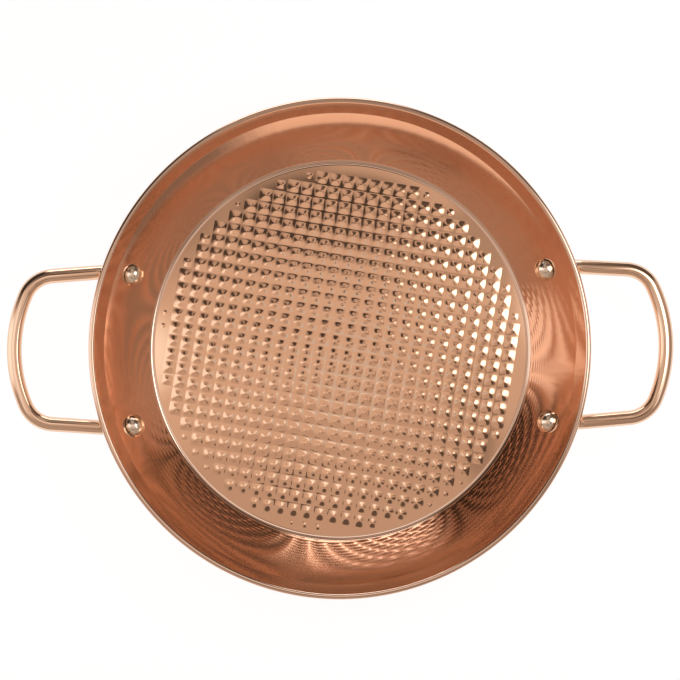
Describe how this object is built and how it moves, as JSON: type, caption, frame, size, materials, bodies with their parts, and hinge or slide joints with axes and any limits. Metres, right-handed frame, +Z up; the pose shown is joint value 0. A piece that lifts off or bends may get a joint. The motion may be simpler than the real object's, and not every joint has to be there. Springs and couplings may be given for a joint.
{
  "type": "seafood pan",
  "caption": "Shallow round copper pan with a flared wall, rolled rim, base embossed with rounded pyramids, and riveted loop handles, for cooking and serving seafood or rice.",
  "frame": {"origin": "centre of the base's underside, on the plane the pan rests on", "axes": "+Z up out of the pan's mouth, +X through the middle of the right handle, Y across the handles"},
  "size_m": [0.398, 0.3, 0.0436],
  "materials": {
    "pan_copper": "spun and polished copper",
    "handle_copper": "polished copper rod",
    "rivet_metal": "polished pale metal"
  },
  "bodies": {
    "root": {"pan_body": "pan_copper", "handle_left": "handle_copper", "handle_right": "handle_copper", "rivet_left_back": "rivet_metal", "rivet_left_front": "rivet_metal", "rivet_right_back": "rivet_metal", "rivet_right_front": "rivet_metal"}
  },
  "joints": []
}
